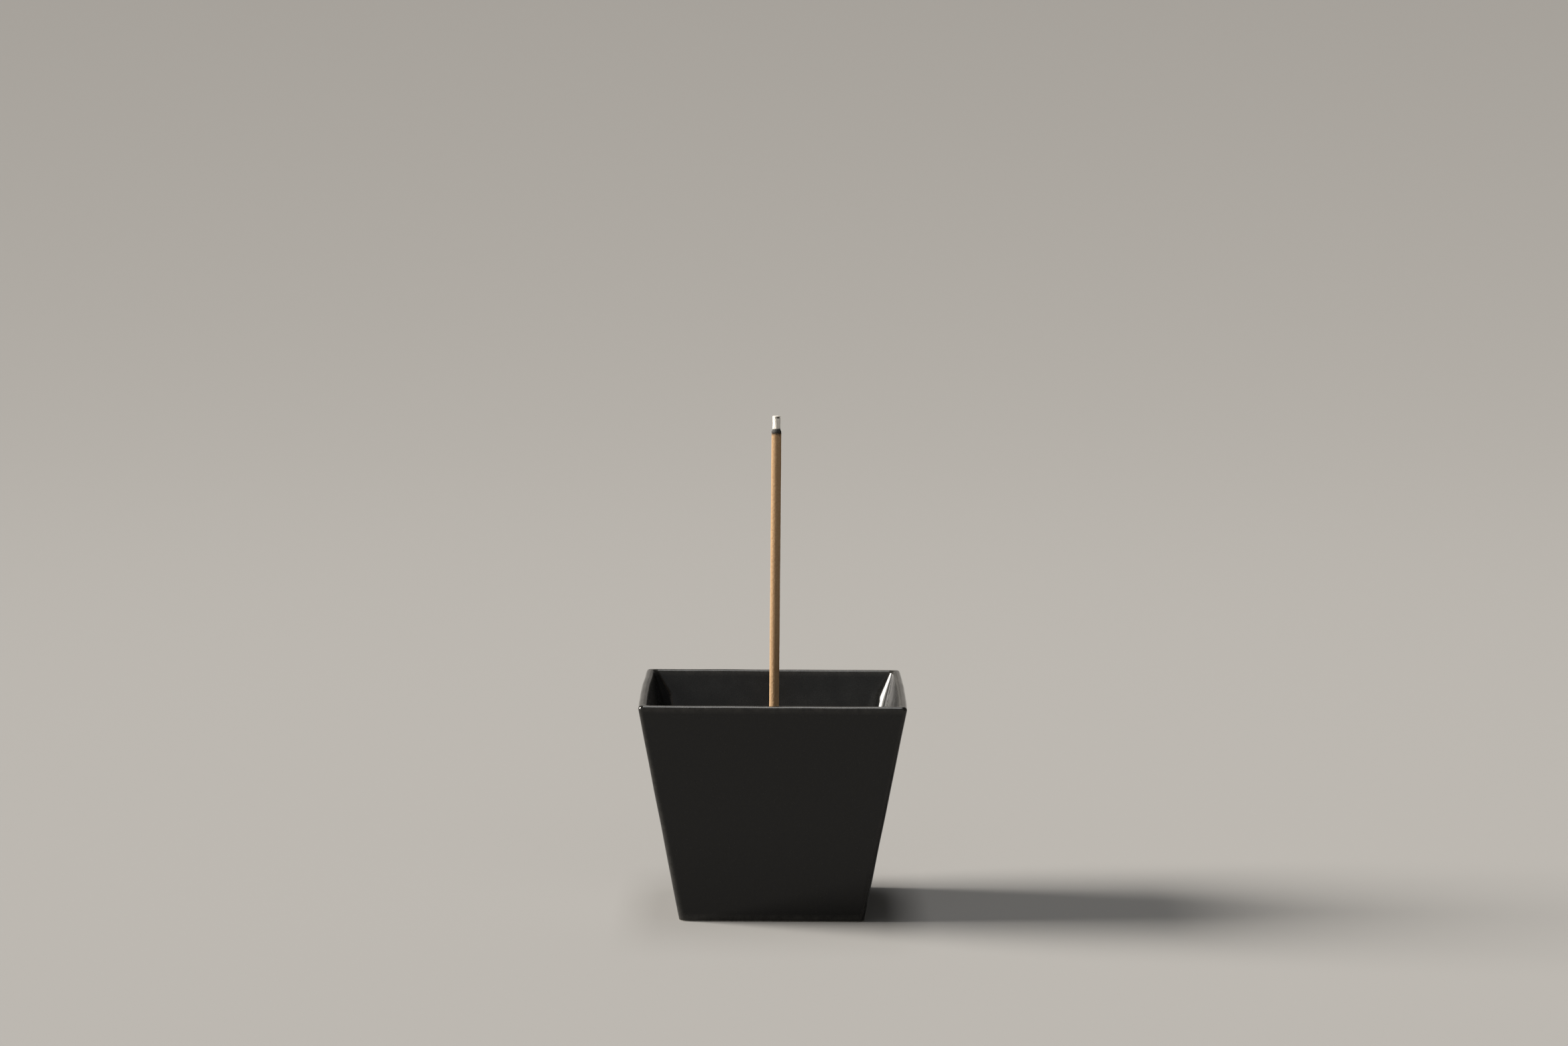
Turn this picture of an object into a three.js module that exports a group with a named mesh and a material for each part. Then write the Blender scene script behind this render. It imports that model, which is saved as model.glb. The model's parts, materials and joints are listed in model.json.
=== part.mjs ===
// Small square incense cup of black glazed ceramic, filled with ash to about half its depth,
// with one stick of incense standing upright in the ash. The stick is lit: above its brown
// part come a charred collar, a coal and a short column of ash.
// Millimetres, +Z up, origin on the ground at the centre of the cup's foot.

import * as THREE from 'three';

const degree = Math.PI / 180;

// cup, outside
const cupWidth = 60;           // across the middle of two opposite sides, at the rim
const cupHeight = 50;
const footWidth = 41.6;        // across the foot, before its arris is rounded
const sideBow = 0.27;          // how far the middle of a side stands out at the rim
const rimCorner = 1.1;         // plan radius of the upright corners, at the rim and at the foot
const footCorner = 1.8;
const rimArris = 0.75;         // rounding of the rim's two edges
const footArris = 0.25;        // rounding of the foot's outer edge
const footRing = 3.2;          // width of the unglazed ring that the cup stands on
const recessDepth = 1;         // hollow under the foot

// cup, inside
const rimWall = 1.8;           // wall thickness at the rim
const innerLean = 11.8 * degree;
const innerRimCorner = 1.2;    // plan radius of the inner corners, at the rim and lower down
const innerCorner = 4.5;
const cornerBlend = 6;         // how far below the rim they have their full radius
const floorHeight = 4.3;       // top of the floor above the ground
const floorFillet = 4;

// ash
const ashLevel = 32;           // top of the ash bed above the ground
const looseGap = 0.3;          // between the ash and what it touches

// stick of incense, measured along its own axis from its buried lower end
const stickRadius = 1.11;
const stickFoot = new THREE.Vector3(0.17, 0, 16);
const stickLean = 0.2 * degree;        // towards +X
const brownLength = 92.3;
const charLength = 0.7;
const ashLength = 3.1;
const ashRadius = 0.85;
const coalRadius = 0.42;
const coalLength = 1.3;
const burnGap = 0.12;                  // between the zones of the burning end
const endBevel = 0.15;

// steps of the faceted curves
const sideSteps = 6;
const cornerSteps = 5;
const arcSteps = 5;
const roundSteps = 24;

// An outline of the cup in plan: a square with rounded corners whose sides bow out as a
// parabola. half is the distance from the centre to a side at its corners.
function planRing(half, radius, bow, z) {
  const ring = [];
  for (let side = 0; side < 4; side++) {
    const quarter = [];
    for (let i = 0; i <= sideSteps; i++) {
      const t = 2 * i / sideSteps - 1;
      quarter.push([half + bow * (1 - t * t), t * (half - radius)]);
    }
    for (let i = 1; i < cornerSteps; i++) {
      const a = 90 * degree * i / cornerSteps;
      quarter.push([half - radius + radius * Math.cos(a), half - radius + radius * Math.sin(a)]);
    }
    const turn = new THREE.Matrix4().makeRotationZ(90 * degree * side);
    quarter.forEach(([x, y]) => ring.push(new THREE.Vector3(x, y, z).applyMatrix4(turn)));
  }
  return ring;
}

// Points [u, z] of an arc in a wall's section, u being measured out from the cup's centre.
function arc([u, z], radius, from, to) {
  const points = [];
  for (let i = 0; i <= arcSteps; i++) {
    const a = from + (to - from) * i / arcSteps;
    points.push([u + radius * Math.cos(a), z + radius * Math.sin(a)]);
  }
  return points;
}

// A closed skin over rings with the same number of points, capped at the first and the last.
// It faces out when the rings run from the underside, up the outside and down the inside.
function loft(rings) {
  const count = rings[0].length;
  const middle = ring => ring.reduce((sum, p) => sum.add(p), new THREE.Vector3()).divideScalar(count);
  const points = [...rings.flat(), middle(rings[0]), middle(rings.at(-1))];
  const firstMiddle = points.length - 2;
  const lastMiddle = points.length - 1;
  const lastRing = (rings.length - 1) * count;
  const index = [];
  for (let i = 0; i < count; i++) {
    const next = (i + 1) % count;
    for (let start = 0; start < lastRing; start += count) {
      const [a, b, c, d] = [start + i, start + next, start + count + next, start + count + i];
      index.push(a, b, c, a, c, d);
    }
    index.push(firstMiddle, next, i, lastMiddle, lastRing + i, lastRing + next);
  }
  const geometry = new THREE.BufferGeometry().setFromPoints(points);
  geometry.setIndex(index);
  geometry.computeVertexNormals();
  return geometry;
}

// A solid turned about +Z from a profile of [radius, z] points that starts and ends on the axis.
function turned(profile) {
  const geometry = new THREE.LatheGeometry(profile.map(p => new THREE.Vector2(...p)), roundSteps);
  return geometry.rotateX(90 * degree);
}

function piece(name, geometry, color, roughness) {
  const material = new THREE.MeshStandardMaterial({ color, roughness, metalness: 0 });
  const mesh = new THREE.Mesh(geometry, material);
  mesh.name = name;
  return mesh;
}

// What changes evenly from the foot to the rim: how far the sides bow out, the radius of the
// upright corners, and half the cup's width between its corners.
const between = (foot, rim, z) => foot + (rim - foot) * z / cupHeight;
const bowAt = z => between(0, sideBow, z);
const cornerAt = z => between(footCorner, rimCorner, z);
const halfAt = z => between(footWidth / 2, cupWidth / 2 - sideBow, z);

// Centres of the roundings of the rim and of the foot, in the wall's section.
const rimOuter = [cupWidth / 2 - sideBow - rimArris, cupHeight - rimArris];
const rimInner = [rimOuter[0] - (rimWall - 2 * rimArris), cupHeight - rimArris];
const footOuter = [footWidth / 2 - footArris, footArris];

// The outer wall's lean: the line that touches the roundings of the foot and the rim.
const wallRun = [rimOuter[0] - footOuter[0], rimOuter[1] - footOuter[1]];
const outerLean = Math.atan2(...wallRun) + Math.asin((rimArris - footArris) / Math.hypot(...wallRun));

// The inner wall as a straight line in section: u at a height.
const innerTop = [
  rimInner[0] - rimArris * Math.cos(innerLean),
  rimInner[1] + rimArris * Math.sin(innerLean),
];
const innerWall = z => innerTop[0] - (innerTop[1] - z) * Math.tan(innerLean);
const innerCornerAt = z => {
  const share = Math.max(0, 1 - (cupHeight - z) / cornerBlend);
  return innerCorner + (innerRimCorner - innerCorner) * share;
};
const filletCentre = [
  innerWall(floorHeight + floorFillet * (1 - Math.sin(innerLean))) - floorFillet * Math.cos(innerLean),
  floorHeight + floorFillet,
];

function vessel() {
  const footInner = footWidth / 2 - footRing;
  const outside = [
    ...arc(footOuter, footArris, -90 * degree, -outerLean),
    ...arc(rimOuter, rimArris, -outerLean, 90 * degree),
  ];
  const blendEnd = cupHeight - cornerBlend;
  const inside = [
    ...arc(rimInner, rimArris, 90 * degree, 180 * degree - innerLean),
    [innerWall(blendEnd), blendEnd],
    ...arc(filletCentre, floorFillet, -innerLean, -90 * degree),
  ];
  const rings = [
    planRing(footInner - recessDepth / 2, innerCorner / 2, 0, recessDepth),
    planRing(footInner, innerCorner / 2, 0, 0),
    ...outside.map(([u, z]) => planRing(u, cornerAt(z) - Math.max(0, halfAt(z) - u), bowAt(z), z)),
    ...inside.map(([u, z]) => planRing(u, innerCornerAt(z) - (innerWall(z) - u), bowAt(z), z)),
  ];
  return piece('vessel', loft(rings), 0x0b0b0c, 0.38);
}

function ashBed() {
  const buried = arc(filletCentre, floorFillet - looseGap, -90 * degree, -innerLean);
  const top = [innerWall(ashLevel) - looseGap / Math.cos(innerLean), ashLevel];
  const skin = [...buried, top].map(([u, z]) => {
    const corner = innerCorner - looseGap - (innerWall(z) - looseGap / Math.cos(innerLean) - u);
    return planRing(u, corner, bowAt(z), z);
  });
  const socket = [ashLevel, stickFoot.z - looseGap].map(z => skin.at(-1).map(({ x, y }) => {
    const a = Math.atan2(y, x);
    const middle = stickFoot.x + (z - stickFoot.z) * Math.tan(stickLean);
    const radius = stickRadius + looseGap;
    return new THREE.Vector3(middle + radius * Math.cos(a), radius * Math.sin(a), z);
  }));
  return piece('ash_bed', loft([...skin, ...socket]), 0xb9b4ab, 0.95);
}

function incenseStick() {
  const profile = [
    [0, 0], [stickRadius - endBevel, 0], [stickRadius, endBevel],
    [stickRadius, brownLength], [0, brownLength],
  ];
  return piece('incense_stick', turned(profile), 0x8a6748, 0.85);
}

function charCollar() {
  const bottom = brownLength + burnGap;
  const top = brownLength + charLength;
  const profile = [[0, bottom], [stickRadius, bottom], [ashRadius, top], [0, top]];
  return piece('char_collar', turned(profile), 0x171614, 0.9);
}

function ember() {
  const bottom = brownLength + charLength + burnGap;
  const profile = [
    [0, bottom], [coalRadius, bottom], [0.8 * coalRadius, bottom + 0.5 * coalLength],
    [0.4 * coalRadius, bottom + 0.9 * coalLength], [0, bottom + coalLength],
  ];
  return piece('ember', turned(profile), 0x7a1c08, 0.9);
}

function ashTip() {
  const bottom = brownLength + charLength + burnGap;
  const top = brownLength + charLength + ashLength;
  const hollow = coalRadius + burnGap;
  const profile = [
    [0, bottom + coalLength + 2 * burnGap], [hollow, bottom + coalLength], [hollow, bottom],
    [ashRadius, bottom], [ashRadius, top - endBevel], [ashRadius - endBevel, top], [0, top],
  ];
  return piece('ash_tip', turned(profile), 0xd8d2c4, 0.95);
}

const stick = new THREE.Group();
stick.position.copy(stickFoot);
stick.rotation.y = stickLean;
stick.add(incenseStick(), charCollar(), ember(), ashTip());

const burner = new THREE.Group();
burner.add(vessel(), ashBed(), stick);

export default burner;
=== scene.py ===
# A small square incense cup in black glaze, filled with ash, with a lit stick of incense in it.
# Everything is in metres in the frame's own axes: +Z up, origin under the middle of the foot.

import json
import math
import bpy
import numpy as np
from mathutils import Matrix, Vector


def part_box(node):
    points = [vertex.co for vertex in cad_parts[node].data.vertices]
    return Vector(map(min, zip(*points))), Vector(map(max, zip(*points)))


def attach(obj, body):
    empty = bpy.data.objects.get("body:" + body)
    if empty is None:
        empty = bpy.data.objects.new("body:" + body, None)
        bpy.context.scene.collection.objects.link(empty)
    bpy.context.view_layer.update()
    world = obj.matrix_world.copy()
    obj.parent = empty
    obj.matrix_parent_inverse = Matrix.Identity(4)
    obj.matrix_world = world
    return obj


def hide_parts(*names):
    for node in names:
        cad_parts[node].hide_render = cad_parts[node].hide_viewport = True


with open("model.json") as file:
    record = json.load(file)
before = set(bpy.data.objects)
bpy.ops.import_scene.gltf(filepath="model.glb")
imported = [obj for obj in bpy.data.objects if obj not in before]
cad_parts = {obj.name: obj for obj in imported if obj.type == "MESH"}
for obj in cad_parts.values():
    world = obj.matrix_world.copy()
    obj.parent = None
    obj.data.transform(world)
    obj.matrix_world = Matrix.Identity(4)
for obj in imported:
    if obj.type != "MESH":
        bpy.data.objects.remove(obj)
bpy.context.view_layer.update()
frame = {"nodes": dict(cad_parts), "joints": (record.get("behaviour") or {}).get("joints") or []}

mm = 0.001

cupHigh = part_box("vessel")[1]
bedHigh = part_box("ash_bed")[1]
stickLow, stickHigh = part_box("incense_stick")
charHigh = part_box("char_collar")[1]
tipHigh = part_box("ash_tip")[1]
stickAxis = np.array(frame["joints"][0]["axis"])
print("frame loaded:", len(frame["nodes"]), "nodes")


# What the shapes share: waves, arcs, lines, the rounded square and the mesh itself.

# Slow, even unevenness: a sum of sine waves that run in random directions, each with a
# wavelength near size. The result is about -1 to 1.
def unevenness(points, size, seed, waves=20):
    rng = np.random.default_rng(seed)
    way = rng.normal(size=(waves, 3))
    way *= (2 * np.pi / size * rng.uniform(0.6, 1.6, waves) / np.linalg.norm(way, axis=1))[:, None]
    phase = rng.uniform(0, 2 * np.pi, waves)
    return np.sin(points @ way.T + phase).sum(axis=-1) / math.sqrt(2 * waves)


# Points (u, z) on an arc: centre + radius (cos a, sin a), a running evenly from start to end.
def arcPoints(centre, radius, start, end, steps):
    a = np.linspace(start, end, steps)
    return np.stack([centre[0] + radius * np.cos(a), centre[1] + radius * np.sin(a)], axis=1)


# Points (u, z) along a straight line, without its ends.
def linePoints(start, end, steps):
    t = np.linspace(0, 1, steps + 2)[1:-1, None]
    return np.array(start) * (1 - t) + np.array(end) * t


sideShare = 0.68    # how much of each quarter of a rounded square's points are on its side


# A square with rounded corners and bowed sides, for rows of half width, corner radius and
# bow. turn runs 0 to 4 round the square. In each quarter the first part is a side,
# x = half + bow (1 - t^2), y = t (half - corner), and the rest is the corner's arc.
def squarePlan(half, corner, bow, turn):
    half, corner, bow = (np.atleast_1d(v)[:, None] for v in (half, corner, bow))
    side = np.floor(turn)
    part = turn - side
    t = 2 * np.clip(part / sideShare, 0, 1) - 1
    a = np.clip((part - sideShare) / (1 - sideShare), 0, 1) * np.pi / 2
    onSide = part < sideShare
    x = np.where(onSide, half + bow * (1 - t * t), half - corner + corner * np.cos(a))
    y = np.where(onSide, t * (half - corner), half - corner + corner * np.sin(a))
    c, s = np.cos(side * np.pi / 2), np.sin(side * np.pi / 2)
    return np.stack([x * c - y * s, x * s + y * c], axis=-1)


# A mesh over grids of points, each (rows, around, 3). Quads join neighbouring rows and
# columns, the last column joins the first, and a fan closes each end at its middle. It
# faces out when the rows run from the underside, up the outside and in at the top.
def skin(name, grids):
    points, loops, sizes, used = [], [], [], 0
    for grid in grids:
        rows, around = grid.shape[:2]
        j = np.arange(around)
        near = (np.arange(rows - 1) * around)[:, None] + j
        far = (np.arange(rows - 1) * around)[:, None] + (j + 1) % around
        quads = np.stack([near, far, far + around, near + around], axis=-1).reshape(-1, 4)
        top = (rows - 1) * around
        first = np.stack([np.full(around, rows * around), (j + 1) % around, j], axis=1)
        last = np.stack([np.full(around, rows * around + 1), top + j, top + (j + 1) % around], axis=1)
        points += [grid.reshape(-1, 3), grid[:1].mean(axis=1), grid[-1:].mean(axis=1)]
        loops += [quads.ravel() + used, first.ravel() + used, last.ravel() + used]
        sizes += [np.full(len(quads), 4), np.full(2 * around, 3)]
        used += rows * around + 2
    points, loops, sizes = np.concatenate(points), np.concatenate(loops), np.concatenate(sizes)
    mesh = bpy.data.meshes.new(name)
    mesh.vertices.add(len(points))
    mesh.vertices.foreach_set("co", points.ravel())
    mesh.loops.add(len(loops))
    mesh.loops.foreach_set("vertex_index", loops)
    mesh.polygons.add(len(sizes))
    mesh.polygons.foreach_set("loop_start", np.cumsum(sizes) - sizes)
    mesh.polygons.foreach_set("use_smooth", np.ones(len(sizes), dtype=bool))
    mesh.update(calc_edges=True)
    mesh.validate()
    piece = bpy.data.objects.new(name, mesh)
    bpy.context.scene.collection.objects.link(piece)
    return piece


# Writes one number per point of a single-grid skin; an end point gets its row's mean.
def paint(piece, name, values):
    layer = piece.data.attributes.new(name, "FLOAT", "POINT")
    ends = [values[0].mean(), values[-1].mean()]
    layer.data.foreach_set("value", np.concatenate([values.ravel(), ends]).astype(np.float32))


def finishPiece(piece, body, slot, material, *nodes):
    piece.data.materials.append(material)
    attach(piece, body)
    if nodes:
        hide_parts(*nodes)


# What the materials share: nodes, two node groups, and a short way to write a material.

# A new node; an input that is given as another node's socket is linked, any other is set.
def addNode(tree, kind, inputs=None, **settings):
    made = tree.nodes.new(kind)
    for key, value in settings.items():
        setattr(made, key, value)
    for key, value in (inputs or {}).items():
        if isinstance(value, bpy.types.NodeSocket):
            tree.links.new(value, made.inputs[key])
        else:
            made.inputs[key].default_value = value
    return made


def newGroup(name, inputs, outputs):
    group = bpy.data.node_groups.new(name, "ShaderNodeTree")
    for label, kind, value in inputs:
        made = group.interface.new_socket(label, in_out="INPUT", socket_type=kind)
        if value is not None:
            made.default_value = value
    for label, kind in outputs:
        group.interface.new_socket(label, in_out="OUTPUT", socket_type=kind)
    return group, group.nodes.new("NodeGroupInput").outputs, group.nodes.new("NodeGroupOutput").inputs


# Fine grain: cloudy noise of about Size, stretched so that it spans 0 to 1.
def makeGrainGroup():
    group, given, out = newGroup(
        "fineGrain",
        [("Vector", "NodeSocketVector", None), ("Size", "NodeSocketFloat", 0.001),
         ("Contrast", "NodeSocketFloat", 2.0)],
        [("Mask", "NodeSocketFloat")],
    )
    scale = addNode(group, "ShaderNodeMath", {0: 1.0, 1: given["Size"]}, operation="DIVIDE")
    noise = addNode(group, "ShaderNodeTexNoise", {
        "Vector": given["Vector"], "Scale": scale.outputs[0], "Detail": 4.0, "Roughness": 0.62})
    middle = addNode(group, "ShaderNodeMath", {0: noise.outputs["Fac"], 1: 0.5}, operation="SUBTRACT")
    spread = addNode(group, "ShaderNodeMath", {
        0: middle.outputs[0], 1: given["Contrast"], 2: 0.5}, operation="MULTIPLY_ADD", use_clamp=True)
    group.links.new(spread.outputs[0], out["Mask"])
    return group


# Scattered specks: round dots of about Size, on the share Amount of the cells of a pattern.
def makeSpeckGroup():
    group, given, out = newGroup(
        "scatteredSpecks",
        [("Vector", "NodeSocketVector", None), ("Size", "NodeSocketFloat", 0.001),
         ("Amount", "NodeSocketFloat", 0.2)],
        [("Mask", "NodeSocketFloat")],
    )
    scale = addNode(group, "ShaderNodeMath", {0: 0.5, 1: given["Size"]}, operation="DIVIDE")
    cells = addNode(group, "ShaderNodeTexVoronoi", {"Vector": given["Vector"], "Scale": scale.outputs[0]})
    dot = addNode(group, "ShaderNodeMapRange", {
        "Value": cells.outputs["Distance"], "From Min": 0.32, "From Max": 0.18})
    pick = addNode(group, "ShaderNodeSeparateColor", {"Color": cells.outputs["Color"]})
    chosen = addNode(group, "ShaderNodeMath", {
        0: pick.outputs[0], 1: given["Amount"]}, operation="LESS_THAN")
    mask = addNode(group, "ShaderNodeMath", {0: dot.outputs[0], 1: chosen.outputs[0]}, operation="MULTIPLY")
    group.links.new(mask.outputs[0], out["Mask"])
    return group


grainGroup = makeGrainGroup()
speckGroup = makeSpeckGroup()


# A material with its Principled BSDF, its Object coordinates and short ways to add to it.
class Look:
    def __init__(self, name):
        self.material = bpy.data.materials.new(name)
        self.material.use_nodes = True
        self.tree = self.material.node_tree
        self.shader = self.tree.nodes["Principled BSDF"]
        self.place = self.tree.nodes.new("ShaderNodeTexCoord").outputs["Object"]

    def grain(self, size, contrast, place=None):
        made = addNode(self.tree, "ShaderNodeGroup", node_tree=grainGroup)
        made.inputs["Size"].default_value = size
        made.inputs["Contrast"].default_value = contrast
        self.tree.links.new(place or self.place, made.inputs["Vector"])
        return made.outputs["Mask"]

    def specks(self, size, amount):
        made = addNode(self.tree, "ShaderNodeGroup", node_tree=speckGroup)
        made.inputs["Size"].default_value = size
        made.inputs["Amount"].default_value = amount
        self.tree.links.new(self.place, made.inputs["Vector"])
        return made.outputs["Mask"]

    def height(self):
        return addNode(self.tree, "ShaderNodeSeparateXYZ", {0: self.place}).outputs[2]

    def layer(self, name):
        return addNode(self.tree, "ShaderNodeAttribute", attribute_name=name).outputs["Fac"]

    def mix(self, mask, under, over):
        made = addNode(self.tree, "ShaderNodeMix", {"Factor": mask}, data_type="RGBA")
        for socket, value in ((made.inputs[6], under), (made.inputs[7], over)):
            if isinstance(value, bpy.types.NodeSocket):
                self.tree.links.new(value, socket)
            else:
                socket.default_value = (*value, 1.0)
        return made.outputs[2]

    def math(self, operation, a, b, clamp=False):
        made = addNode(self.tree, "ShaderNodeMath", {0: a, 1: b}, operation=operation, use_clamp=clamp)
        return made.outputs[0]

    def ramp(self, value, start, end, low=0.0, high=1.0):
        return addNode(self.tree, "ShaderNodeMapRange", {
            "Value": value, "From Min": start, "From Max": end, "To Min": low, "To Max": high}).outputs[0]

    def bump(self, height, distance, strength, normal=None):
        inputs = {"Height": height, "Distance": distance, "Strength": strength}
        if normal:
            inputs["Normal"] = normal
        return addNode(self.tree, "ShaderNodeBump", inputs).outputs["Normal"]

    def set(self, **values):
        for key, value in values.items():
            socket = self.shader.inputs[key.replace("_", " ")]
            if isinstance(value, bpy.types.NodeSocket):
                self.tree.links.new(value, socket)
            else:
                socket.default_value = value


camera = {
    "place": (2.306 * mm, -961.6 * mm, 190.1 * mm),
    "down": 0.10611,       # tilt below the horizon, radians
    "roll": 0.0054,
    "lens": 97.88,         # focal length on the sensor below, millimetres
    "sensor": 36.0,
    "clipEnd": 20.0,
}


def makeCamera():
    data = bpy.data.cameras.new("camera")
    data.lens = camera["lens"]
    data.sensor_width = camera["sensor"]
    data.clip_end = camera["clipEnd"]
    made = bpy.data.objects.new("camera", data)
    bpy.context.scene.collection.objects.link(made)
    tilt = Matrix.Rotation(math.pi / 2 - camera["down"], 4, "X")
    made.matrix_world = Matrix.Translation(camera["place"]) @ tilt @ Matrix.Rotation(camera["roll"], 4, "Z")
    bpy.context.scene.camera = made


studio = {
    "floorColour": (0.31, 0.305, 0.298),
    "floorWidth": 24.0,
    "floorFront": -12.0,
    "sweepSteps": 48,
    "sweepStart": 0.9,     # where the floor begins to curve up behind
    "sweepRadius": 5.0,
    "keyPlace": (-1.9, 0.1, 0.95),    # a broad soft light far away in this direction
    "keyAngle": math.radians(30),
    "keyPower": 9.0,
    "keyColour": (1.0, 0.95, 0.88),
    "topPlace": (0.0, 0.15, 1.5),     # a long strip that runs over the cup from front to back
    "topSize": (0.3, 1.4),
    "topPower": 8.0,
    "topColour": (1.0, 0.99, 0.97),
    "fillPlace": (0.0, -1.9, 0.8),
    "fillSize": (4.2, 1.1),
    "fillPower": 6.8,
    "fillColour": (1.0, 0.99, 0.97),
    "worldColour": (1.0, 0.985, 0.965),
    "worldStrength": 0.06,
    "worldInView": 0.4,
    "aim": (0.0, 0.0, 0.05),          # where all the lights point
}


# A flat floor that turns up behind in a quarter circle: (x, y, 0) and then
# (x, start + r sin a, r - r cos a).
def makeFloor():
    a = np.linspace(0, np.pi / 2, studio["sweepSteps"])
    r = studio["sweepRadius"]
    y = np.concatenate([[studio["floorFront"], 0.0], studio["sweepStart"] + r * np.sin(a)])
    z = np.concatenate([[0.0, 0.0], r - r * np.cos(a)])
    x = np.array([-0.5, 0.5]) * studio["floorWidth"]
    points = np.stack(np.broadcast_arrays(x[None, :], y[:, None], z[:, None]), axis=-1).reshape(-1, 3)
    i = np.arange(len(y) - 1) * 2
    faces = np.stack([i, i + 1, i + 3, i + 2], axis=1)
    mesh = bpy.data.meshes.new("floor")
    mesh.from_pydata(points.tolist(), [], faces.tolist())
    mesh.polygons.foreach_set("use_smooth", np.ones(len(faces), dtype=bool))
    floor = bpy.data.objects.new("floor", mesh)
    bpy.context.scene.collection.objects.link(floor)
    look = Look("floorPaper")
    look.set(Base_Color=(*studio["floorColour"], 1.0), Roughness=0.9)
    look.shader.inputs["Specular IOR Level"].default_value = 0.0
    mesh.materials.append(look.material)


def makeLight(name, kind):
    data = bpy.data.lights.new(name, kind)
    data.energy = studio[name + "Power"]
    data.color = studio[name + "Colour"]
    if kind == "SUN":
        data.angle = studio[name + "Angle"]
    else:
        data.shape = "RECTANGLE"
        data.size, data.size_y = studio[name + "Size"]
    made = bpy.data.objects.new(name, data)
    bpy.context.scene.collection.objects.link(made)
    made.location = studio[name + "Place"]
    made.rotation_euler = (Vector(studio["aim"]) - made.location).to_track_quat("-Z", "Y").to_euler()


def makeLights():
    makeLight("key", "SUN")
    makeLight("top", "AREA")
    makeLight("fill", "AREA")
    bpy.context.scene.view_settings.view_transform = "Standard"
    world = bpy.data.worlds.new("world")
    world.use_nodes = True
    background = world.node_tree.nodes["Background"]
    background.inputs["Color"].default_value = (*studio["worldColour"], 1.0)
    # the surroundings light the scene dimly, but look as pale as the floor where they are in view
    inView = addNode(world.node_tree, "ShaderNodeLightPath").outputs["Is Camera Ray"]
    strength = addNode(world.node_tree, "ShaderNodeMapRange", {
        "Value": inView, "To Min": studio["worldStrength"], "To Max": studio["worldInView"]})
    world.node_tree.links.new(strength.outputs[0], background.inputs["Strength"])
    bpy.context.scene.world = world


makeCamera()
makeFloor()
makeLights()
print("camera, floor and lights made")


cup = {
    "footHalf": 20.8 * mm,
    "bow": 0.27 * mm,            # how far a side's middle stands out at the rim
    "rimCorner": 1.1 * mm,       # plan radius of the upright corners
    "footCorner": 1.8 * mm,
    "innerRimCorner": 1.2 * mm,
    "innerCorner": 4.5 * mm,
    "cornerBlend": 6.0 * mm,     # how far below the rim the inner corners have their full radius
    "rimArris": 0.75 * mm,
    "footArris": 0.25 * mm,
    "rimWall": 1.8 * mm,
    "innerLean": math.radians(11.8),
    "floorHeight": 4.3 * mm,
    "fillet": 4.0 * mm,
    "footRing": 3.2 * mm,
    "ringArris": 0.2 * mm,
    "recess": 1.0 * mm,
    "recessSlope": 0.5 * mm,
    "recessCorner": 2.5 * mm,
    "middle": 0.05 * mm,         # half width of the smallest ring, round the middle
    "sideWave": 0.04 * mm,       # unevenness of the sides
    "rimWave": 0.035 * mm,       # unevenness of the rim's height
    "waveSize": 16.0 * mm,
    "calmFoot": 6.0 * mm,        # the waves grow over this height, so the foot stays true
    "footSteps": 9,              # points on the foot's arris
    "rimSteps": 13,              # points on the rim's inner rounding
    "ringRows": 6,               # rows across the foot ring, up the outer wall and down the inner
    "wallRows": 56,
    "innerRows": 46,
    "around": 320,
    "glaze": ((0.0035, 0.0036, 0.0035), (0.012, 0.0121, 0.0118)),
    # paler glaze where it breaks thin on the roundings, partly a painted highlight along the rim and the
    # upright corners
    "edgeBreakAndHighlight": (0.042, 0.04, 0.036),
    "flecks": (0.06, 0.057, 0.052),
    "dust": (0.42, 0.41, 0.39),
    "clay": ((0.2, 0.188, 0.168), (0.36, 0.34, 0.305)),
}
cupHeight = cupHigh[2]
rimCentre = (cupHigh[0] - cup["bow"] - cup["rimArris"], cupHeight - cup["rimArris"])
rimInner = (rimCentre[0] - cup["rimWall"] + 2 * cup["rimArris"], rimCentre[1])
innerTop = (rimInner[0] - cup["rimArris"] * math.cos(cup["innerLean"]),
            rimInner[1] + cup["rimArris"] * math.sin(cup["innerLean"]))


# Half width of the inner wall at height z: a straight line in section.
def innerWall(z):
    return innerTop[0] - (innerTop[1] - z) * math.tan(cup["innerLean"])


# Plan radius of the inner corners at height z.
def innerCornerAt(z):
    share = np.clip(1 - (cupHeight - z) / cup["cornerBlend"], 0, 1)
    return cup["innerCorner"] + (cup["innerRimCorner"] - cup["innerCorner"]) * share


filletCentre = (
    innerWall(cup["floorHeight"] + cup["fillet"] * (1 - math.sin(cup["innerLean"])))
    - cup["fillet"] * math.cos(cup["innerLean"]),
    cup["floorHeight"] + cup["fillet"],
)


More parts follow.
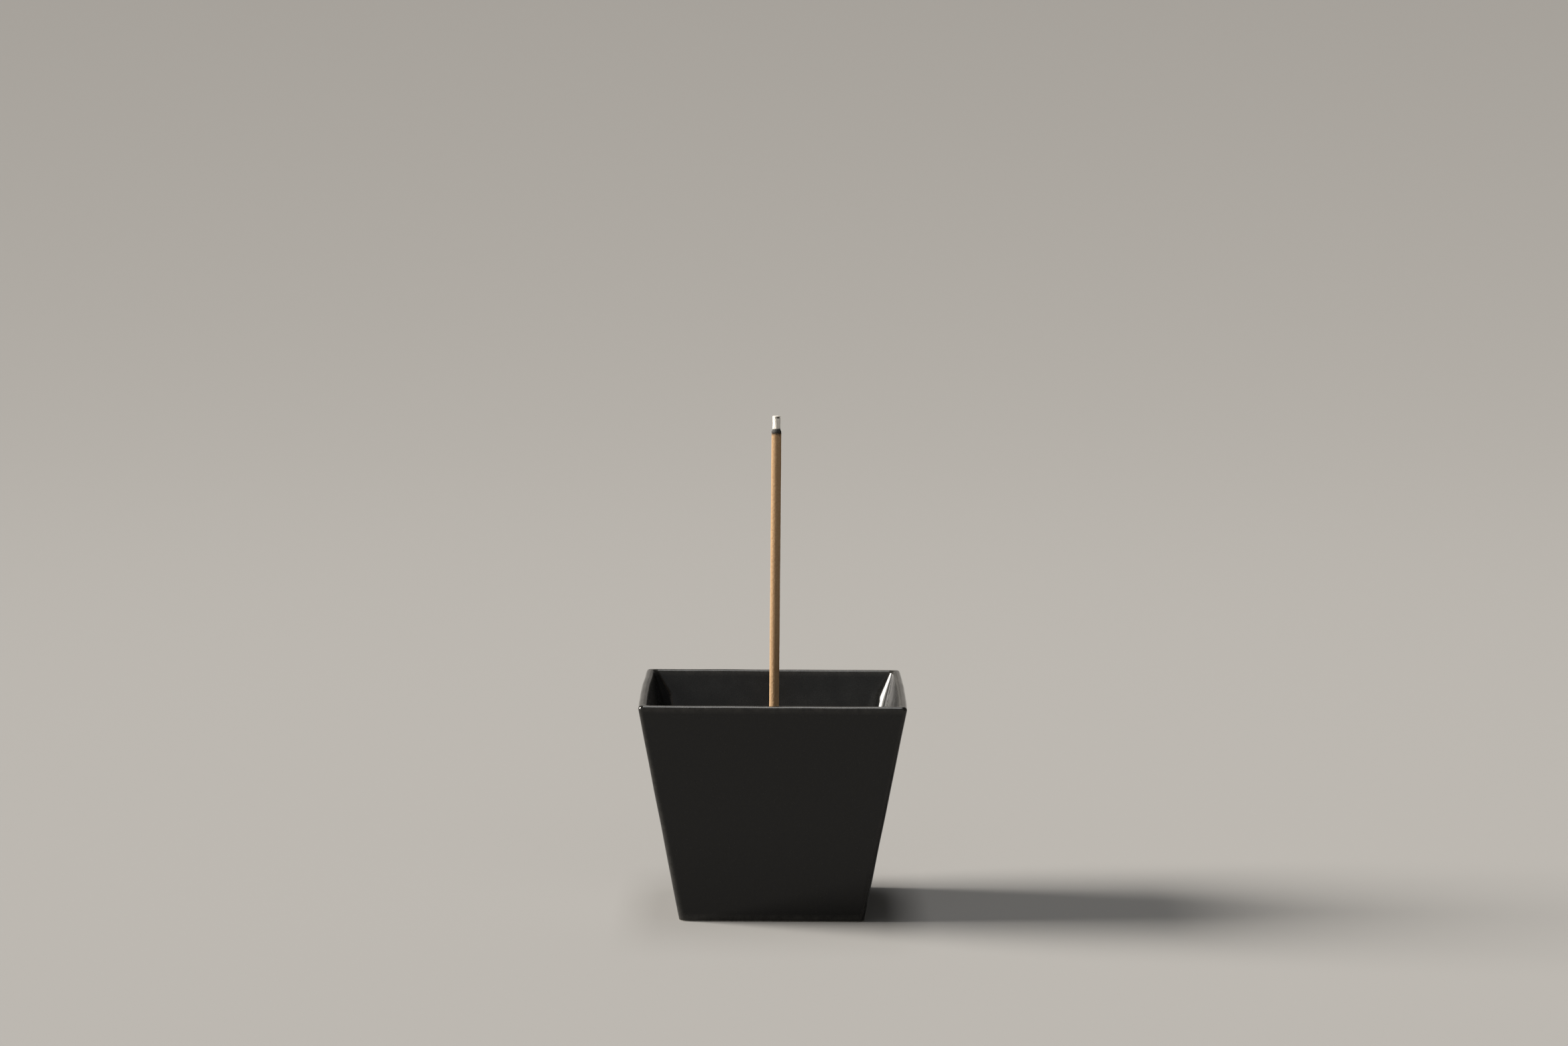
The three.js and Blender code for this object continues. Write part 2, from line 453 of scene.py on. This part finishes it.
# The cup's section in points (u, z), a chain of lines and arcs in three stretches: the
# underside from its middle out to the foot, the outside from the foot's arris up and over
# the rim, and the inside from the rim's inner rounding down to the middle of the floor.
def cupSection():
    lean, rimArris, footArris = cup["innerLean"], cup["rimArris"], cup["footArris"]
    footCentre = (cup["footHalf"] - footArris, footArris)
    run, rise = rimCentre[0] - footCentre[0], rimCentre[1] - footCentre[1]
    outLean = math.atan2(run, rise) + math.asin((rimArris - footArris) / math.hypot(run, rise))
    quarter = math.pi / 2
    foot = arcPoints(footCentre, footArris, -quarter, -outLean, cup["footSteps"])
    rimOut = arcPoints(rimCentre, rimArris, -outLean, quarter, 15)
    rimIn = arcPoints(rimInner, rimArris, quarter, math.pi - lean, cup["rimSteps"])
    fillet = arcPoints(filletCentre, cup["fillet"], -lean, -quarter, 12)
    ringInner, ringArris = cup["footHalf"] - cup["footRing"], cup["ringArris"]
    recessEdge = (ringInner - cup["recessSlope"], cup["recess"])
    ringEdge = arcPoints((ringInner + ringArris, ringArris), ringArris, -2 * quarter, -quarter, 5)
    underside = np.concatenate([
        linePoints((cup["middle"], cup["recess"]), recessEdge, 12), [recessEdge], ringEdge,
        linePoints(ringEdge[-1], foot[0], cup["ringRows"])])
    outside = np.concatenate([
        foot, linePoints(foot[-1], rimOut[0], cup["wallRows"]), rimOut,
        linePoints(rimOut[-1], rimIn[0], 4)])
    inside = np.concatenate([
        rimIn, linePoints(rimIn[-1], fillet[0], cup["innerRows"]), fillet,
        linePoints(fillet[-1], (cup["middle"], cup["floorHeight"]), 14)])
    return underside, outside, inside


# Plan radius of the corners for each point of the section; the outside runs from start to
# end. A rounding's points lie in from their wall, and their corners are smaller by as much.
def cupCorners(u, z, start, end):
    share = z[start:end] / cupHeight
    upright = cup["footCorner"] + (cup["rimCorner"] - cup["footCorner"]) * share
    half = cup["footHalf"] + (rimCentre[0] + cup["rimArris"] - cup["footHalf"]) * share
    corner = np.empty_like(u)
    corner[:start] = np.minimum(cup["recessCorner"], 0.5 * u[:start])
    corner[start:end] = upright - np.maximum(0, half - u[start:end])
    corner[end:] = innerCornerAt(z[end:]) - (innerWall(z[end:]) - u[end:])
    corner = np.clip(corner, 0.02 * mm, u)
    # the ring's underside joins the sharp outer corner to the rounder recess
    joined = np.linspace(cup["recessCorner"], cup["footCorner"] - cup["footArris"], cup["ringRows"] + 2)
    corner[start - cup["ringRows"]:start] = joined[1:-1]
    return corner


# Each point of the section becomes a bowed, rounded square; slow waves then shift every
# point a little, as in hand-finished clay.
def makeCup():
    underside, outside, inside = cupSection()
    u, z = np.concatenate([underside, outside, inside]).T
    start = len(underside)
    end = start + len(outside)
    turn = np.linspace(0, 4, cup["around"], endpoint=False)
    plan = squarePlan(u, cupCorners(u, z, start, end), cup["bow"] * np.clip(z / cupHeight, 0, 1), turn)
    heights = np.broadcast_to(z[:, None], plan.shape[:2])
    grid = np.concatenate([plan, heights[..., None]], axis=-1)
    waves = np.stack([unevenness(grid, cup["waveSize"], seed) for seed in (3, 4, 5)], axis=-1)
    waves *= [cup["sideWave"], cup["sideWave"], cup["rimWave"]]
    lift = np.clip(grid[..., 2:] / cup["calmFoot"], 0, 1)
    piece = skin("glazed_cup", [grid + waves * lift * lift * (3 - 2 * lift)])

    row = np.arange(len(u))[:, None]
    wallStart = start + cup["footSteps"]
    rimStart = wallStart + cup["wallRows"]
    part = turn % 1
    cornerness = np.where(part > sideShare, np.sin((part - sideShare) / (1 - sideShare) * np.pi), 0) ** 2
    # how thin the glaze lies, paler where it breaks and partly a painted highlight on the roundings and
    # upright corners: most on the roundings of foot and rim, less on the outer corners
    onFoot = (row > start + cup["footSteps"] // 2) & (row <= wallStart)
    onRim = (row >= rimStart) & (row < end + cup["rimSteps"])
    onWall = (row >= wallStart) & (row < rimStart)
    paint(piece, "glazeBreakAndHighlight", np.maximum(onFoot | onRim, 0.8 * onWall * cornerness))
    # ash dust clings to the inside, and least in its corners
    paint(piece, "inside", (row >= end) * (1 - cornerness))
    paint(piece, "bareClay", (row < wallStart - 1) * np.ones_like(turn))
    return piece


def makeGlazeLook():
    look = Look("black_glaze")
    stipple = look.grain(0.35 * mm, 2.2)
    cloud = look.grain(9 * mm, 2.0)
    flecks = look.specks(0.14 * mm, 0.05)
    # paler glaze break on the roundings, partly a painted highlight on the rim and upright corners
    breakAndHighlight = look.math("MULTIPLY", look.layer("glazeBreakAndHighlight"), look.grain(1.6 * mm, 1.7), clamp=True)
    glaze = look.mix(look.math("MULTIPLY", stipple, 0.6), *cup["glaze"])
    glaze = look.mix(look.math("MULTIPLY", breakAndHighlight, 0.75), glaze, cup["edgeBreakAndHighlight"])
    glaze = look.mix(look.math("MULTIPLY", flecks, 0.35), glaze, cup["flecks"])
    # dust on the inside thickens from the rim down to the ash
    inside = look.layer("inside")
    powder = look.math("MULTIPLY", look.grain(0.17 * mm, 3.4), look.grain(4 * mm, 1.4))
    dust = look.math("MULTIPLY", inside, look.ramp(look.height(), cupHeight, bedHigh[2], 0.5, 1.0))
    dust = look.math("MULTIPLY", dust, powder)
    glaze = look.mix(look.math("MULTIPLY", dust, 0.11), glaze, cup["dust"])
    # the unglazed foot, with a ragged edge where the glaze stops
    clay = look.mix(look.grain(0.5 * mm, 3.0), *cup["clay"])
    ragged = look.math("MULTIPLY", look.grain(0.8 * mm, 2.0), 0.3)
    bare = look.ramp(look.math("ADD", look.layer("bareClay"), ragged), 0.55, 0.75)
    rough = look.math("ADD", look.ramp(stipple, 0, 1, 0.05, 0.1), look.ramp(cloud, 0, 1, -0.01, 0.03))
    rough = look.math("ADD", rough, look.math("MULTIPLY", inside, 0.2))
    rough = look.math("ADD", rough, look.math("MULTIPLY", bare, 0.5), clamp=True)
    low = look.bump(look.grain(2.6 * mm, 1.5), 0.01 * mm, 0.5)
    fine = look.bump(stipple, 0.004 * mm, 0.6, low)
    look.set(Base_Color=look.mix(bare, glaze, clay), Roughness=rough, Normal=fine, IOR=1.38)
    return look.material


glazedCup = makeCup()
finishPiece(glazedCup, "cup", "black_glaze", makeGlazeLook(), "vessel")
print("cup made:", len(glazedCup.data.polygons), "faces")


stick = {
    "radius": 1.11 * mm,
    "grain": 0.012 * mm,
    "grainSize": 0.4 * mm,
    "drift": 0.012 * mm,       # slow change of thickness
    "twist": 9000.0,           # turn of the drawn lines' wave along the stick, radians a metre
    "lines": 17,
    "lineDepth": 0.0015 * mm,
    "rows": 600,
    "around": 64,
    "brown": ((0.228, 0.134, 0.064), (0.426, 0.285, 0.157)),
    "paleFibre": (0.41, 0.285, 0.16),
    "darkMottle": (0.228, 0.122, 0.056),
    "paleStretch": (0.418, 0.274, 0.15),
    "darkSpeck": (0.106, 0.06, 0.03),
    "scorch": (0.02, 0.015, 0.011),
    "scorchLength": 0.85 * mm,
    "dust": (0.42, 0.4, 0.37),
}
footPoint = np.array([stickLow[0] + stick["radius"], 0.0, stickLow[2]])
sideways = np.cross(np.array([0.0, 1.0, 0.0]), stickAxis)
sideways /= np.linalg.norm(sideways)
forward = np.cross(stickAxis, sideways)


# Distance along the stick's axis from its foot to a height.
def along(height):
    return (height - footPoint[2]) / stickAxis[2]


brownEnd, charEnd, tipEnd = along(stickHigh[2]), along(charHigh[2]), along(tipHigh[2])


# Points round the stick's axis: foot + s axis + r (cos a sideways + sin a forward), with s
# and r given for each row, or r for each row and column.
def roundAxis(s, r, angles):
    r = r if r.ndim == 2 else r[:, None] * np.ones_like(angles)
    out = np.cos(angles)[:, None] * sideways + np.sin(angles)[:, None] * forward
    s = s if s.ndim == 2 else s[:, None] * np.ones_like(angles)
    return footPoint + s[..., None] * stickAxis + r[..., None] * out


# The unburnt stick: a cylinder whose radius has drawn lines twisting round it, fine grain
# and a slow drift. Both ends are cut square with a slightly broken edge.
def makeStick():
    angles = np.linspace(0, 2 * np.pi, stick["around"], endpoint=False)
    body = np.linspace(0.12 * mm, brownEnd - 0.02 * mm, stick["rows"])
    s = np.concatenate([[0, 0, 0, 0.04 * mm], body, [brownEnd, brownEnd, brownEnd]])
    base = np.full(len(s), stick["radius"])
    base[:4] = np.array([0.25, 0.6, 0.93, 0.97]) * stick["radius"]
    base[-3:] = np.array([0.97, 0.6, 0.25]) * stick["radius"]
    smooth = roundAxis(s, base, angles)
    relief = stick["grain"] * unevenness(smooth, stick["grainSize"], 11, 32)
    relief += 0.5 * stick["grain"] * unevenness(smooth, 2.6 * stick["grainSize"], 12)
    relief += stick["drift"] * unevenness(smooth * [0.1, 0.1, 1], 9 * mm, 13)
    relief += stick["lineDepth"] * np.sin(stick["lines"] * angles + stick["twist"] * s[:, None])
    r = base[:, None] * (1 + relief / stick["radius"])
    piece = skin("brown_stick", [roundAxis(s, np.minimum(r, stick["radius"] * 1.03), angles)])
    # the pattern's own space, wound back by the twist and squeezed along the stick
    wound = angles + stick["twist"] / stick["lines"] * s[:, None]
    drawn = np.stack(np.broadcast_arrays(
        stick["radius"] * np.cos(wound), stick["radius"] * np.sin(wound), 0.5 * s[:, None]), axis=-1)
    layer = piece.data.attributes.new("drawn", "FLOAT_VECTOR", "POINT")
    layer.data.foreach_set("vector", np.concatenate([drawn.ravel(), np.zeros(6)]).astype(np.float32))
    return piece


def makeIncenseLook():
    look = Look("incense")
    height = look.height()
    drawn = addNode(look.tree, "ShaderNodeAttribute", attribute_name="drawn").outputs["Vector"]
    fibre = look.grain(0.3 * mm, 2.4, drawn)
    powder = look.grain(0.12 * mm, 2.6)
    coarse = look.grain(0.5 * mm, 2.6)
    patchy = look.grain(0.5 * mm, 3.0)
    slow = look.grain(14 * mm, 1.6)
    specks = look.specks(0.07 * mm, 0.12)
    brown = look.mix(powder, *stick["brown"])
    brown = look.mix(look.math("MULTIPLY", fibre, 0.5), brown, stick["paleFibre"])
    brown = look.mix(look.math("MULTIPLY", coarse, 0.5), brown, stick["darkMottle"])
    brown = look.mix(look.math("MULTIPLY", slow, 0.25), brown, stick["paleStretch"])
    brown = look.mix(look.math("MULTIPLY", specks, 0.45), brown, stick["darkSpeck"])
    # scorched below the char, with an uneven edge
    edge = look.math("ADD", height, look.math("MULTIPLY", patchy, 0.35 * mm))
    scorch = look.ramp(edge, stickHigh[2] - stick["scorchLength"], stickHigh[2] + 0.02 * mm)
    scorched = look.mix(look.math("POWER", scorch, 1.9), brown, stick["scorch"])
    # ash dust on the length that stands in the bed
    dusty = look.ramp(look.math("SUBTRACT", height, look.math("MULTIPLY", coarse, 3 * mm)),
                      bedHigh[2] - 1 * mm, bedHigh[2] - 4 * mm)
    dusty = look.math("MULTIPLY", dusty, look.ramp(patchy, 0.2, 0.7, 0.35, 0.9))
    colour = look.mix(dusty, scorched, stick["dust"])
    fine = look.bump(coarse, 0.06 * mm, 0.6)
    fine = look.bump(fibre, 0.02 * mm, 0.5, fine)
    fine = look.bump(powder, 0.02 * mm, 0.6, fine)
    look.set(Base_Color=colour, Roughness=look.ramp(coarse, 0, 1, 0.78, 0.92), Normal=fine)
    look.shader.inputs["Specular IOR Level"].default_value = 0.3
    return look.material


brownStick = makeStick()
finishPiece(brownStick, "stick", "incense", makeIncenseLook(), "incense_stick")
print("stick made")


burning = {
    "tipRadius": 0.865 * mm,
    "coalRadius": 0.42 * mm,
    "coalLength": 1.3 * mm,
    "gap": 0.12 * mm,          # between the coal and the hollow that holds it
    "around": 72,
    "charRows": 34,
    "tipRows": 110,
    "cracks": 0.022 * mm,
    "notchHeight": 0.865,      # place of the slit on the ash column, as a share of its length
    "notchAngle": -0.8,        # towards the front and right of the ash
    "notchWidth": 0.85,
    "notchDepth": 0.5 * mm,
    "char": ((0.006, 0.006, 0.006), (0.05, 0.05, 0.047)),
    "charSpeck": (0.3, 0.29, 0.27),
    "ash": ((0.56, 0.53, 0.47), (0.86, 0.83, 0.77)),
    "ashCloud": (0.68, 0.64, 0.57),
    "ashSpeck": (0.2, 0.18, 0.16),
    "soot": (0.05, 0.048, 0.046),
    "slit": (0.05, 0.04, 0.032),
    "coal": ((0.03, 0.01, 0.006), (0.3, 0.07, 0.03)),
    "glow": ((0.25, 0.02, 0.003), (1.0, 0.22, 0.03)),
    "glowStrength": 1.5,
}
endAngles = np.linspace(0, 2 * np.pi, burning["around"], endpoint=False)


# The charred collar: a cone from the stick's radius in to the ash's, crumbled by grain.
def makeChar():
    t = np.linspace(0, 1, burning["charRows"])
    s = np.concatenate([[brownEnd, brownEnd], brownEnd + t * (charEnd - brownEnd), [charEnd, charEnd]])
    wall = stick["radius"] + (burning["tipRadius"] - stick["radius"]) * t ** 1.5
    base = np.concatenate([[0.3 * wall[0], 0.7 * wall[0]], wall, [0.7 * wall[-1], 0.3 * wall[-1]]])
    smooth = roundAxis(s, base, endAngles)
    relief = 0.03 * mm * unevenness(smooth, 0.35 * mm, 21, 32) - 0.01 * mm
    relief += 0.02 * mm * unevenness(smooth, 0.15 * mm, 22, 32)
    fade = np.clip((s - brownEnd) / (0.2 * mm), 0, 1)[:, None] * (base[:, None] / wall[0]) ** 2
    return skin("char_ring", [roundAxis(s, base[:, None] + relief * fade, endAngles)])


# The ash column: r = radius + flakes + grain, with a slanted, broken top, lengthwise cracks,
# and a slit under the top flake at one side; a blind hollow at its foot holds the coal.
def makeTip():
    length, radius = tipEnd - charEnd, burning["tipRadius"]
    hollow = burning["coalRadius"] + burning["gap"]
    depth = burning["coalLength"] + burning["gap"]
    t = np.linspace(0, 1, burning["tipRows"])
    well = np.array([[0.1 * hollow, depth], [0.6 * hollow, depth], [hollow, 0.9 * depth], [hollow, 0.0]])
    crown = np.array([[0.96, 0.995], [0.86, 1.0], [0.6, 1.0], [0.3, 1.0]])
    base = np.concatenate([well[:, 0], np.full(len(t), radius), crown[:, 0] * radius])
    s = np.concatenate([well[:, 1], t * length * 0.985, crown[:, 1] * length])
    smooth = roundAxis(charEnd + s, base, endAngles)
    outer = np.ones((len(s), 1))
    outer[:len(well)] = 0
    rise = np.clip(s / length, 0, 1)[:, None]

    flakes = 0.035 * mm * unevenness(smooth * [1, 1, 0.5], 0.9 * mm, 31, 28)
    flakes += 0.02 * mm * unevenness(smooth, 0.3 * mm, 32, 32)
    lines = unevenness(smooth * [1, 1, 0.12], 0.55 * mm, 33, 28)
    cracks = -burning["cracks"] * np.exp(-(lines / 0.12) ** 2)
    turned = np.angle(np.exp(1j * (endAngles - burning["notchAngle"])))
    slitRow = np.exp(-((s - burning["notchHeight"] * length) / (0.13 * mm)) ** 4)[:, None]
    slit = slitRow * np.exp(-(turned / burning["notchWidth"]) ** 4) * outer
    slump = -0.03 * mm * np.exp(-((rise - 0.45) / 0.2) ** 2)
    # the relief fades out towards the middle of the top
    fade = outer * np.minimum(1, base[:, None] / (0.7 * mm))
    r = base[:, None] + fade * (flakes + cracks + slump - burning["notchDepth"] * slit)
    topShift = 0.05 * mm * np.cos(endAngles + 0.6) + 0.04 * mm * unevenness(smooth, 0.6 * mm, 34)
    topShift = np.clip((rise - 0.8) / 0.2, 0, 1) * (topShift - 0.07 * mm) * outer
    piece = skin("ash_column", [roundAxis((charEnd + s)[:, None] + topShift, r, endAngles)])
    paint(piece, "slit", slit)
    return piece


# The coal: a short blunt cone, r = radius (1 - t^2.2), lumpy.
def makeCoal():
    t = np.linspace(0, 0.985, 26)
    start = charEnd + burning["gap"]
    s = np.concatenate([[start, start], start + t * burning["coalLength"]])
    base = burning["coalRadius"] * np.concatenate([[0.3, 0.7], 1 - t ** 2.2])
    smooth = roundAxis(s, base, endAngles)
    relief = 0.03 * mm * unevenness(smooth, 0.3 * mm, 41, 24)
    return skin("coal", [roundAxis(s, base[:, None] * (1 + relief / burning["coalRadius"]), endAngles)])


def makeCharLook():
    look = Look("char")
    grain = look.grain(0.16 * mm, 3.0)
    specks = look.specks(0.06 * mm, 0.12)
    colour = look.mix(grain, *burning["char"])
    colour = look.mix(look.math("MULTIPLY", specks, 0.5), colour, burning["charSpeck"])
    low = look.ramp(look.height(), stickHigh[2] + 0.3 * mm, stickHigh[2])
    colour = look.mix(low, colour, stick["scorch"])
    look.set(Base_Color=colour, Roughness=look.ramp(grain, 0, 1, 0.7, 0.9),
             Normal=look.bump(grain, 0.03 * mm, 0.8))
    return look.material


def makeTipLook():
    look = Look("tip_ash")
    stretch = addNode(look.tree, "ShaderNodeMapping", {"Vector": look.place, "Scale": (1.0, 1.0, 0.3)})
    streak = look.grain(0.35 * mm, 2.6, stretch.outputs[0])
    cloud = look.grain(1.1 * mm, 2.2)
    specks = look.specks(0.07 * mm, 0.12)
    colour = look.mix(streak, *burning["ash"])
    colour = look.mix(look.math("MULTIPLY", cloud, 0.4), colour, burning["ashCloud"])
    colour = look.mix(look.math("MULTIPLY", specks, 0.6), colour, burning["ashSpeck"])
    # soot at the foot, and shade deep in the slit
    edge = look.math("ADD", look.height(), look.math("MULTIPLY", cloud, -0.25 * mm))
    sooty = look.ramp(edge, charHigh[2] + 0.22 * mm, charHigh[2] - 0.1 * mm)
    colour = look.mix(sooty, colour, burning["soot"])
    colour = look.mix(look.ramp(look.layer("slit"), 0.25, 0.75), colour, burning["slit"])
    look.set(Base_Color=colour, Roughness=0.95, Normal=look.bump(streak, 0.03 * mm, 0.8))
    return look.material


def makeCoalLook():
    look = Look("coal")
    grain = look.grain(0.2 * mm, 3.0)
    look.set(Base_Color=look.mix(grain, *burning["coal"]), Roughness=0.9,
             Emission_Color=look.mix(grain, *burning["glow"]), Normal=look.bump(grain, 0.03 * mm, 0.8))
    look.shader.inputs["Emission Strength"].default_value = burning["glowStrength"]
    return look.material


finishPiece(makeChar(), "stick", "char", makeCharLook(), "char_collar")
finishPiece(makeTip(), "stick", "tip_ash", makeTipLook(), "ash_tip")
finishPiece(makeCoal(), "stick", "coal", makeCoalLook(), "ember")
print("burning end made")


bed = {
    "level": bedHigh[2],
    "socketGap": 0.03 * mm,
    "socketDepth": 16.0 * mm,
    "mound": 0.7 * mm,         # ash heaped in a ring round the stick
    "moundRadius": 2.6 * mm,
    "moundWidth": 1.7 * mm,
    "craterWidth": 1.5 * mm,
    "hump": 0.45 * mm,
    "humpRadius": 20.0 * mm,
    "lumps": ((13, 0.34), (5, 0.2), (2, 0.09), (0.9, 0.055)),    # sizes and heights in mm
    "tuck": 0.06 * mm,         # how far the edge of the top goes into the cup's wall
    "around": 400,
    "rows": 110,
    "bits": 7,                 # rods of ash that fell from the stick
    "bitRadius": 0.8 * mm,
    "bitLift": 0.55 * mm,
    "grains": 170,
    "reach": 20.0 * mm,        # no grain lies further out than this
    "ash": ((0.3, 0.285, 0.265), (0.5, 0.485, 0.46)),
    "fallenAsh": ((0.42, 0.4, 0.37), (0.68, 0.66, 0.62)),
    "darkSpeck": (0.12, 0.11, 0.1),
    "paleSpeck": (0.8, 0.78, 0.74),
}


# Height of the ash above its level at (x, y): a small crater and a heaped ring round the
# stick, a broad hump, and lumps of four sizes.
def bedRelief(x, y):
    fromStick = np.hypot(x - footPoint[0], y - footPoint[1])
    flat = np.stack([x, y, np.zeros_like(x)], axis=-1)
    mound = np.exp(-((fromStick - bed["moundRadius"]) / bed["moundWidth"]) ** 2)
    crater = np.exp(-(fromStick / bed["craterWidth"]) ** 2)
    hump = 1 - (np.hypot(x, y) / bed["humpRadius"]) ** 2
    relief = bed["mound"] * (mound - crater) + bed["hump"] * hump
    for seed, (size, height) in enumerate(bed["lumps"], 51):
        relief += height * mm * unevenness(flat, size * mm, seed, 28)
    return relief


# The ash fills the cup's inside from its floor. Its top runs from the cup's wall in to the
# stick as rings that change from the cup's plan to a circle, (1 - q) circle + q square,
# raised by the relief, and then down a socket round the stick.
def makeBed():
    lean = cup["innerLean"]
    turn = np.linspace(0, 4, bed["around"], endpoint=False)
    buried = arcPoints(filletCentre, cup["fillet"] - 0.1 * mm, -math.pi / 2, -lean, 10)
    topZ = bed["level"] - 0.8 * mm
    side = linePoints(buried[-1], (innerWall(topZ) - 0.02 * mm, topZ), 10)
    centre = linePoints((0.1 * mm, buried[0][1]), buried[0], 4)
    u, z = np.concatenate([centre, buried, side]).T
    corner = np.clip(cup["innerCorner"] - (innerWall(z) - u), 0.05 * mm, u)
    plan = squarePlan(u, corner, cup["bow"] * z / cupHeight, turn)
    lower = np.concatenate([plan, np.broadcast_to(z[:, None, None], plan.shape[:2] + (1,))], axis=-1)
    half, bow = innerWall(bed["level"]) + bed["tuck"], cup["bow"] * bed["level"] / cupHeight
    edge = squarePlan(half, cup["innerCorner"], bow, turn)[0]
    angle = np.arctan2(edge[:, 1], edge[:, 0])
    around = np.stack([np.cos(angle), np.sin(angle)], axis=-1)
    radius = stick["radius"] * 1.03 + bed["socketGap"]
    atTop = footPoint[:2] + stickAxis[:2] * along(bed["level"])
    q = np.linspace(1, 0, bed["rows"])[:, None, None] ** 1.25
    ring = (1 - q) * (atTop + radius * around) + q * edge
    heights = bed["level"] + bedRelief(ring[..., 0], ring[..., 1])
    top = np.concatenate([ring, heights[..., None]], axis=-1)
    s = along(bed["level"]) - np.linspace(0.6 * mm, bed["socketDepth"], 12)
    s = np.append(s, -0.15 * mm)
    middle = footPoint + s[:, None] * stickAxis
    socket = np.zeros((len(s), bed["around"], 3))
    socket[..., :2] = middle[:, None, :2] + radius * around
    socket[..., 2] = middle[:, None, 2]
    return skin("ash_fill", [np.concatenate([lower, top, socket])])


# A place (x, y) on the bed that is well away from the places already taken.
def clearSpot(rng, taken):
    while True:
        away, bearing = rng.uniform(4.5, 15) * mm, rng.uniform(0, 2 * np.pi)
        spot = np.array([away * math.cos(bearing), away * math.sin(bearing)])
        if all(np.hypot(*(spot - other)) > 5 * mm for other in taken):
            return spot


# Height of the ash at one place.
def ashHeight(x, y):
    return bed["level"] + bedRelief(np.array([x]), np.array([y]))[0]


# Bits that fell from the stick: short bent rods of ash, r = radius (1 + flakes) along a
# gentle parabola, with broken ends.
def fallenBits(rng):
    t = np.linspace(-0.5, 0.5, 26)
    station = np.sign(t) * np.minimum(np.abs(t) * 1.12, 0.5)
    r = bed["bitRadius"] * np.concatenate([[0.25, 0.6, 0.85], np.ones(20), [0.85, 0.6, 0.25]])
    a = np.linspace(0, 2 * np.pi, 30, endpoint=False)
    up = np.array([0.0, 0.0, 1.0])
    grids, taken = [], []
    for _ in range(bed["bits"]):
        spot = clearSpot(rng, taken)
        taken.append(spot)
        length = rng.uniform(1.6, 4.6) * mm
        heading = rng.uniform(0, np.pi)
        bend = rng.uniform(-0.25, 0.25)
        run = np.array([math.cos(heading), math.sin(heading), 0.0])
        cross = np.array([-run[1], run[0], 0.0])
        line = length * (station[:, None, None] * run + bend * station[:, None, None] ** 2 * cross)
        wall = r[:, None, None] * (np.cos(a)[:, None] * cross + np.sin(a)[:, None] * up)
        relief = 0.05 * mm * unevenness(line + wall, 1.0 * mm, int(rng.integers(1e6)))
        relief += 0.025 * mm * unevenness(line + wall, 0.35 * mm, int(rng.integers(1e6)), 28)
        relief = relief[..., None]
        points = line + wall * (1 + relief / bed["bitRadius"]) + relief * run
        points += [spot[0], spot[1], ashHeight(*spot) + bed["bitLift"]]
        grids.append(points[:, ::-1])
    return grids


# Small round grains, each a ball (cos t cos a, cos t sin a, sin t) with random lumps. They
# lie closest together near the stick.
def fallenGrains(rng):
    t = np.linspace(-1.2, 1.2, 4)[:, None]
    a = np.linspace(0, 2 * np.pi, 7, endpoint=False)
    ball = np.stack(np.broadcast_arrays(np.cos(t) * np.cos(a), np.cos(t) * np.sin(a), np.sin(t)), axis=-1)
    grids = []
    for _ in range(bed["grains"]):
        away, bearing = abs(rng.normal(0, 8)) * mm + 1.9 * mm, rng.uniform(0, 2 * np.pi)
        if away > bed["reach"]:
            continue
        x, y = away * math.cos(bearing), away * math.sin(bearing)
        size = rng.uniform(0.09, 0.28) * mm
        lump = rng.uniform(0.75, 1.2, (len(t), len(a), 1))
        grids.append(ball * lump * size + [x, y, ashHeight(x, y) + 0.4 * size])
    return grids


def makeFallen():
    rng = np.random.default_rng(7)
    return skin("fallen_ash", fallenBits(rng) + fallenGrains(rng))


def makeAshLook(name, dark, light):
    look = Look(name)
    fine = look.grain(0.22 * mm, 2.6)
    middle = look.grain(1.1 * mm, 2.2)
    cloud = look.grain(7 * mm, 2.0)
    dull = tuple(0.43 * (d + l) for d, l in zip(dark, light))
    colour = look.mix(fine, dark, light)
    colour = look.mix(look.math("MULTIPLY", cloud, 0.4), colour, dull)
    colour = look.mix(look.math("MULTIPLY", middle, 0.25), colour, light)
    colour = look.mix(look.math("MULTIPLY", look.specks(0.13 * mm, 0.1), 0.7), colour, bed["darkSpeck"])
    colour = look.mix(look.math("MULTIPLY", look.specks(0.1 * mm, 0.12), 0.5), colour, bed["paleSpeck"])
    normal = look.bump(middle, 0.1 * mm, 0.5)
    look.set(Base_Color=colour, Roughness=0.97, Normal=look.bump(fine, 0.06 * mm, 0.9, normal))
    look.shader.inputs["Specular IOR Level"].default_value = 0.2
    return look.material


finishPiece(makeBed(), "cup", "bed_ash", makeAshLook("bed_ash", *bed["ash"]), "ash_bed")
finishPiece(makeFallen(), "cup", "tip_ash", makeAshLook("fallen_ash", *bed["fallenAsh"]))
print("ash made")
